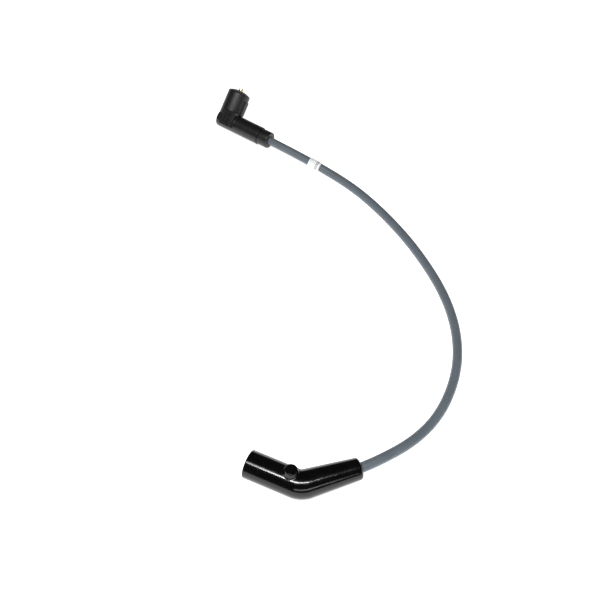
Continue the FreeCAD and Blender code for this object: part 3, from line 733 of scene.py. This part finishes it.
class LEAD_OT_stage(Operator):
    """Floor, camera and soft studio lights"""

    bl_idname = "lead.stage"
    bl_label = "Stage"

    def execute(self, context):
        stage = sizes("stage")
        middle = (CAD_BOX[0] + CAD_BOX[1]) / 2
        aim = Vector((middle.x + stage.aim_x, middle.y + stage.aim_y, FLOOR_Z))
        self.camera(context, stage, aim)
        self.floor(stage, aim)
        self.lights(stage)
        self.surround(context, stage.dome)
        context.scene.view_settings.view_transform = "Standard"
        return {"FINISHED"}

    @staticmethod
    def toward(azimuth, elevation):
        """Direction of a bearing: azimuth 0 is along -Y."""
        flat = math.cos(elevation)
        return Vector((math.sin(azimuth) * flat, -math.cos(azimuth) * flat, math.sin(elevation)))

    def camera(self, context, stage, aim):
        data = bpy.data.cameras.new("camera")
        data.lens = stage.lens
        camera = bpy.data.objects.new("camera", data)
        away = self.toward(stage.azimuth, stage.elevation)
        camera.location = aim + away * stage.distance
        camera.rotation_mode = "QUATERNION"
        camera.rotation_quaternion = (-away).to_track_quat("-Z", "Y")
        data.clip_start = 0.01
        data.clip_end = 20
        context.scene.collection.objects.link(camera)
        context.scene.camera = camera

    @staticmethod
    def floor(stage, aim):
        mesh = bmesh.new()
        bmesh.ops.create_grid(mesh, x_segments=1, y_segments=1, size=stage.floor)
        floor = finished("floor", mesh)
        floor.location = (aim.x, aim.y, FLOOR_Z)
        material, finish = new_finish("floor")
        finish.surface(
            Base_Color=(0.9, 0.9, 0.9, 1),
            Roughness=0.9,
            Specular_IOR_Level=0.0,
            Emission_Color=(1, 1, 1, 1),
            Emission_Strength=stage.glow,
        )
        floor.data.materials.append(material)

    def lights(self, stage):
        boot = Vector((sizes("boot").barrel / 2, 0, 0))
        lamps = [
            ("strip", boot, 0, 77, 1.0, (0.7, 0.05), 8),
            ("key_box", CORNER, -28, 60, 1.1, (0.5, 0.22), 3),
            ("low_box", CORNER, 8, 16, 1.1, (0.8, 0.10), 1.2),
        ]
        for name, target, azimuth, elevation, distance, (wide, deep), power in lamps:
            data = bpy.data.lights.new(name, "AREA")
            data.shape = "RECTANGLE"
            data.size = wide
            data.size_y = deep
            data.energy = power
            lamp = bpy.data.objects.new(name, data)
            away = self.toward(stage.azimuth + math.radians(azimuth), math.radians(elevation))
            lamp.location = target + away * distance
            lamp.rotation_mode = "QUATERNION"
            lamp.rotation_quaternion = (-away).to_track_quat("-Z", "Y")
            bpy.context.scene.collection.objects.link(lamp)

    @staticmethod
    def surround(context, strength):
        """A dim even surround."""
        world = bpy.data.worlds.new("studio")
        finish = Finish(world)
        dome = finish.wire("ShaderNodeBackground", {}, {"Color": (1, 1, 1, 1), "Strength": strength})
        finish.node("ShaderNodeOutputWorld", {}, {"Surface": dome})
        context.scene.world = world


class LEAD_OT_cable(Operator):
    """Silicone cable, one smooth line from the boot to the plug"""

    bl_idname = "lead.cable"
    bl_label = "Cable"

    def execute(self, context):
        cable = sizes("cable")
        curve = bpy.data.curves.new("cable", "CURVE")
        curve.dimensions = "3D"
        curve.bevel_depth = cable.diameter / 2
        curve.bevel_resolution = 10
        curve.resolution_u = 24
        curve.use_fill_caps = True
        line = curve.splines.new("NURBS")
        line.points.add(len(ROUTE) - 1)
        for point, at in zip(line.points, ROUTE):
            point.co = (*at, 1)
        line.order_u = 3
        line.use_endpoint_u = True
        piece = bpy.data.objects.new("cable", curve)
        context.scene.collection.objects.link(piece)
        put_on(piece, "lead", "cable_jacket")
        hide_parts("cable_braid", "cable_insulation", "cable_core")
        boot = sizes("boot")
        return {"FINISHED"}


class LEAD_OT_marker(Operator):
    """White marker sleeve on the cable"""

    bl_idname = "lead.marker"
    bl_label = "Marker sleeve"

    def execute(self, context):
        cable = sizes("cable")
        slide = Vector(JOINTS["marker_slide"]["axis"])
        node = frame["nodes"]["marker_sleeve"]
        spots = [vertex.co.dot(slide) for vertex in node.data.vertices]
        low, high = min(spots), max(spots)
        box_low, box_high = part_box("marker_sleeve")
        middle = (box_low + box_high) / 2
        reach = max((vertex.co - middle - slide * (vertex.co - middle).dot(slide)).length
                    for vertex in node.data.vertices)
        side = slide.cross(UP).normalized()
        at = axes(middle - slide * (middle.dot(slide) - low), side, slide.cross(side), slide)
        bore = cable.diameter / 2 + 0.00003
        end = cable.sleeve_round
        outline = rounded([
            (bore, 0, end / 2),
            (reach, 0, end),
            (reach, high - low, end),
            (bore, high - low, end / 2),
        ])
        piece = turned("marker_sleeve_piece", outline, at, closed=True)
        put_on(piece, "marker", "marker_sleeve")
        return {"FINISHED"}


class LEAD_OT_boot(Operator):
    """Glossy elbow boot with its round boss"""

    bl_idname = "lead.boot"
    bl_label = "Elbow boot"

    def execute(self, context):
        boot = sizes("boot")
        tangent = boot.bend * math.tan(boot.turn / 2)
        straight = boot.barrel - tangent
        bent = boot.bend * boot.turn
        total = straight + bent + boot.leg - tangent
        hole = sizes("cable").diameter / 2 + 0.00012
        sharp = 0.0003
        outline = rounded([
            (0, boot.inner_depth, 0),
            (boot.inner_bore, boot.inner_depth, sharp),
            (boot.inner_bore, boot.depth, sharp),
            (boot.bore, boot.depth, sharp),
            (boot.bore, 0, boot.lip * 0.7),
            (boot.radius, 0, boot.lip),
            (boot.radius, straight, 0),
            (boot.radius, straight + bent, 0),
            (boot.leg_end, total, boot.leg_round),
            (hole, total, 0.0006),
            (hole, total - 0.018, sharp),
            (0, total - 0.018, 0),
        ], 8)
        piece = skin("elbow_boot", divided(outline, 0.00032), self.spine(boot, straight, bent), 192)
        self.raise_boss(piece, boot)
        put_on(piece, "lead", "electrode_boot")
        return {"FINISHED"}

    @staticmethod
    def spine(boot, straight, bent):
        """The frame at a distance along the boot's centreline."""

        def place(distance):
            turned_by = min(max(distance - straight, 0), bent) / boot.bend
            ahead = Vector((math.cos(turned_by), math.sin(turned_by), 0))
            if distance <= straight:
                centre = Vector((distance, 0, 0))
            else:
                centre = Vector((straight + boot.bend * ahead.y, boot.bend * (1 - ahead.x), 0))
                centre += ahead * max(distance - straight - bent, 0)
            return axes(centre, UP, ahead.cross(UP), ahead)

        return place

    @staticmethod
    def raise_boss(piece, boot):
        """Lift the skin to a flat-topped round boss with soft edges."""
        foot = Vector((boot.barrel - boot.boss_back, 0, 0))
        lean = Vector((0, math.sin(boot.boss_lean), math.cos(boot.boss_lean)))
        top = boot.radius + boot.boss_rise
        for vertex in piece.data.vertices:
            rise = (vertex.co - foot).dot(lean)
            aside = (vertex.co - foot - lean * rise).length
            outside = math.hypot(vertex.co.y, vertex.co.z) > boot.radius * 0.98
            if rise < boot.radius * 0.6 or not outside or aside > boot.boss + 0.0006:
                continue
            part = min(max((boot.boss + 0.0005 - aside) / 0.0012, 0), 1)
            crown = top - 0.00025 * (aside / boot.boss) ** 2
            vertex.co += lean * (crown - rise) * part * part * (3 - 2 * part)


class LEAD_OT_plug_shell(Operator):
    """Moulded right-angle shell with its grip ribs"""

    bl_idname = "lead.plug_shell"
    bl_label = "Plug shell"

    def execute(self, context):
        plug = sizes("plug")
        shell = self.shell(plug)
        put_on(shell, "plug", "plug_body")
        ribs = self.ribs(plug)
        ribs.data.materials.append(finish_for("plug_moulding"))
        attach(ribs, "plug")
        return {"FINISHED"}

    @staticmethod
    def shell(plug):
        """Arm, back, tower and pad as one moulding, bored for the cable and for the contacts."""
        tower_bore = 0.0041
        bore_floor = 0.004
        insert_flange = 0.0015
        spigot = 0.00565
        spigot_depth = 0.00605
        past = 0.001
        mesh = bmesh.new()
        rod(mesh, ARM, plug.arm, -plug.back, plug.arm_end)
        rod(mesh, TOWER, plug.collar, -plug.heel_low, plug.cap_low)
        rod(mesh, TOWER, plug.tower, 0, plug.flange - insert_flange)
        low = (plug.root, -plug.behind, -plug.pad_low)
        block(mesh, TOWER, low, (plug.face, plug.front, plug.pad_top))
        shell = finished("plug_shell", mesh)
        cutter_mesh = bmesh.new()
        rod(cutter_mesh, TOWER, tower_bore, -bore_floor, plug.flange)
        cable = sizes("cable").diameter / 2 + 0.0001
        rod(cutter_mesh, ARM, cable, 0, plug.arm_end + past)
        rod(cutter_mesh, ARM, spigot, plug.arm_end - spigot_depth, plug.arm_end + past)
        cutter = finished("shell_cutter", cutter_mesh)
        fine = {"mode": "VOXEL", "voxel_size": 0.00019}
        with_modifiers(shell, ("REMESH", fine), ("SMOOTH", {"factor": 0.5, "iterations": 12}))
        with_modifiers(cutter, ("REMESH", fine))
        return carved(shell, cutter)

    @staticmethod
    def ribs(plug):
        """Two columns of fine ribs across the face."""
        mesh = bmesh.new()
        middle = (plug.front - plug.behind) / 2
        column = (plug.rib_length + plug.rib_gap) / 2
        for row in range(plug.rib_rows):
            rise = plug.pad_top - plug.rib_margin - plug.rib_pitch * row
            for side in (-1, 1):
                at = middle + side * column
                low = (plug.face - plug.rib_rise, at - plug.rib_length / 2, rise)
                high = (plug.face + plug.rib_rise, at + plug.rib_length / 2, rise + plug.rib_width)
                block(mesh, TOWER, low, high)
        ribs = finished("grip_ribs", mesh)
        return bevelled(ribs, 0.0002, 3)


class LEAD_OT_cap(Operator):
    """Domed rubber cap with a raised rib down its inner side"""

    bl_idname = "lead.cap"
    bl_label = "Rubber cap"

    def execute(self, context):
        plug = sizes("plug")
        piece = turned("rubber_cap", self.outline(plug), TOWER, 144, True)
        clear = 0.00015
        for name, fill in (("saddle", self.saddle), ("window", self.window)):
            mesh = bmesh.new()
            fill(mesh, plug, clear)
            carved(piece, finished(name, mesh))
        piece.data.set_sharp_from_angle(angle=math.radians(35))
        put_on(piece, "plug", "tower_cap")
        flank = self.flank(plug)
        flank.data.materials.append(finish_for("cap_rubber"))
        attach(flank, "plug")
        return {"FINISHED"}

    @staticmethod
    def saddle(mesh, plug, clear):
        """What the cap leaves free round the arm."""
        rod(mesh, ARM, plug.arm + clear, 0, 0.02)

    @staticmethod
    def window(mesh, plug, clear):
        """What the cap leaves free round the grip pad."""
        low = (plug.root - clear, -plug.behind - clear, -plug.pad_low)
        high = (plug.face + clear, plug.front + clear, plug.pad_top + clear)
        block(mesh, TOWER, low, high)

    @staticmethod
    def outline(plug):
        """Half section of the cap: skirt, rounded shoulder and dome, open in the middle."""
        top = plug.cap_high + plug.dome
        radius = (plug.cap ** 2 + plug.dome ** 2) / (2 * plug.dome)
        dome = []
        for step in range(14):
            across = plug.cap * 0.93 + (plug.opening + 0.0005 - plug.cap * 0.93) * step / 13
            dome.append((across, top - radius + math.sqrt(radius ** 2 - across ** 2), 0))
        corners = [
            (plug.tower + 0.00005, plug.cap_low, 0.0002),
            (plug.cap, plug.cap_low, 0.0004),
            (plug.cap, plug.cap_high - 0.0003, 0.0009),
            *dome,
            (plug.opening, dome[-1][1] - 0.0001, 0.0002),
            (plug.opening, plug.flange + 0.00005, 0.0001),
            (plug.tower + 0.00005, plug.flange + 0.00005, 0.0001),
        ]
        return rounded(corners)

    @staticmethod
    def flank(plug):
        """The raised rib down the cap's inner side."""
        mesh = bmesh.new()
        half = 0.0023
        root = 0.001
        rise = 0.0013
        lift = 0.0002
        top = 0.021
        low = (-half, plug.cap - root, plug.arm + lift)
        block(mesh, TOWER, low, (half, plug.cap + rise, top))
        return bevelled(finished("cap_flank", mesh), 0.0005, 4)


class LEAD_OT_seal(Operator):
    """Rubber seal where the cable enters the plug"""

    bl_idname = "lead.seal"
    bl_label = "Entry seal"

    def execute(self, context):
        plug = sizes("plug")
        bore = sizes("cable").diameter / 2 + 0.0001
        end = plug.arm_end + plug.seal_length
        outline = rounded([
            (bore, plug.arm_end - 0.004, 0.0002),
            (plug.seal - 0.0012, plug.arm_end - 0.004, 0.0002),
            (plug.seal - 0.0012, plug.arm_end + 0.0001, 0.0001),
            (plug.seal, plug.arm_end + 0.0001, 0.0003),
            (plug.seal, end, 0.0009),
            (bore, end, 0.0004),
        ])
        piece = turned("entry_seal_ring", outline, ARM, 144, True)
        put_on(piece, "plug", "entry_seal")
        return {"FINISHED"}


class LEAD_OT_pin(Operator):
    """Split brass contact pin"""

    bl_idname = "lead.pin"
    bl_label = "Contact pin"

    def execute(self, context):
        plug = sizes("plug")
        collar = plug.flange - 0.0066
        outline = rounded([
            (0, collar, 0),
            (0.003, collar, 0.0001),
            (0.003, collar + 0.001, 0.0001),
            (0.0023, collar + 0.0011, 0),
            (0.0023, plug.flange, 0.0001),
            (plug.pin, plug.flange, 0),
            (plug.pin, plug.pin_tip, 0.0006),
            (0, plug.pin_tip, 0),
        ])
        piece = turned("split_pin", outline, TOWER, 96)
        cutter_mesh = bmesh.new()
        reach = 0.004
        low = (-reach, -plug.slot / 2, plug.pin_tip - plug.slot_depth)
        high = (reach, plug.slot / 2, plug.pin_tip + 0.001)
        block(cutter_mesh, TOWER, low, high)
        carved(piece, finished("slot_cutter", cutter_mesh))
        piece.data.set_sharp_from_angle(angle=math.radians(40))
        put_on(piece, "plug", "contact_pin")
        return {"FINISHED"}


class LEAD_OT_inner_pieces(Operator):
    """Finishes of the metal, ceramic and plastic pieces inside the boot and the plug"""

    bl_idname = "lead.inner_pieces"
    bl_label = "Inner pieces"

    def execute(self, context):
        for name, node in frame["nodes"].items():
            if node.hide_render:
                continue
            node.data.materials.clear()
            node.data.materials.append(finish_for(SLOT_OF[name]))
        return {"FINISHED"}


OPERATORS = (
    LEAD_OT_stage,
    LEAD_OT_marker,
    LEAD_OT_cable,
    LEAD_OT_boot,
    LEAD_OT_plug_shell,
    LEAD_OT_cap,
    LEAD_OT_seal,
    LEAD_OT_pin,
    LEAD_OT_inner_pieces,
)


class LEAD_PT_panel(Panel):
    """Sizes, finishes and pieces of the lead"""

    bl_label = "Ignition Lead"
    bl_space_type = "VIEW_3D"
    bl_region_type = "UI"
    bl_category = "Ignition Lead"

    def draw(self, context):
        for name, kind in SETS.items():
            column = self.layout.column(heading=name.title())
            for prop in kind.__annotations__:
                column.prop(sizes(name), prop)
        for operator in OPERATORS:
            self.layout.operator(operator.bl_idname)


CLASSES = (*SETS.values(), *OPERATORS, LEAD_PT_panel)


def register():
    for item in CLASSES:
        bpy.utils.register_class(item)
    for name, kind in SETS.items():
        setattr(bpy.types.Scene, "lead_" + name, PointerProperty(type=kind))


def unregister():
    for name in SETS:
        delattr(bpy.types.Scene, "lead_" + name)
    for item in reversed(CLASSES):
        bpy.utils.unregister_class(item)


def main():
    """Build every piece in order."""
    register()
    bpy.ops.lead.stage()
    bpy.ops.lead.marker()
    bpy.ops.lead.cable()
    bpy.ops.lead.boot()
    bpy.ops.lead.plug_shell()
    bpy.ops.lead.cap()
    bpy.ops.lead.seal()
    bpy.ops.lead.pin()
    bpy.ops.lead.inner_pieces()


if __name__ == "__main__":
    main()
